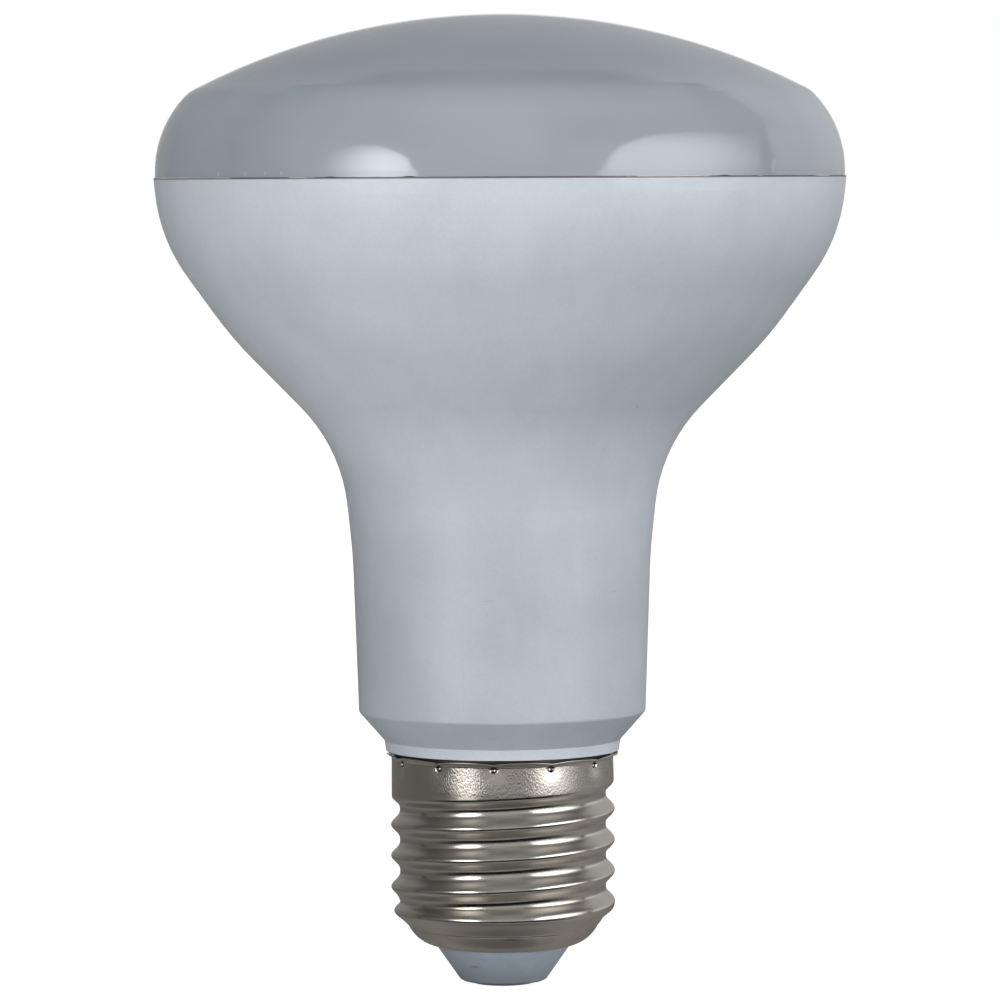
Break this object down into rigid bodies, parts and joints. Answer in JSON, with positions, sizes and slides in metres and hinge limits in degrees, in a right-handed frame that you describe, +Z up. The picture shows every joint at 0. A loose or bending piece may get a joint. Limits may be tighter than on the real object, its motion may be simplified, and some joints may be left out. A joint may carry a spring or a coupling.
{
  "type": "reflector bulb",
  "caption": "Reflector lamp: a milky domed lens on a flared plastic housing that narrows to a straight neck, on a rolled and crimped nickel screw cap with insulator and centre contact.",
  "frame": {"origin": "middle of the centre contact's tip, the lowest point of the lamp on its axis", "axes": "+Z up the lamp's axis from the contact to the lens, -Y towards the side shown in the picture"},
  "size_m": [0.08, 0.08, 0.1125],
  "materials": {
    "milky_lens": "glossy",
    "housing_plastic": "satin",
    "nickel_cap": "satin",
    "insulator_plastic": "satin",
    "contact_metal": "satin"
  },
  "bodies": {
    "root": {"lens": "milky_lens", "housing": "housing_plastic", "screw_shell": "nickel_cap", "insulator": "insulator_plastic", "contact": "contact_metal"}
  },
  "joints": []
}
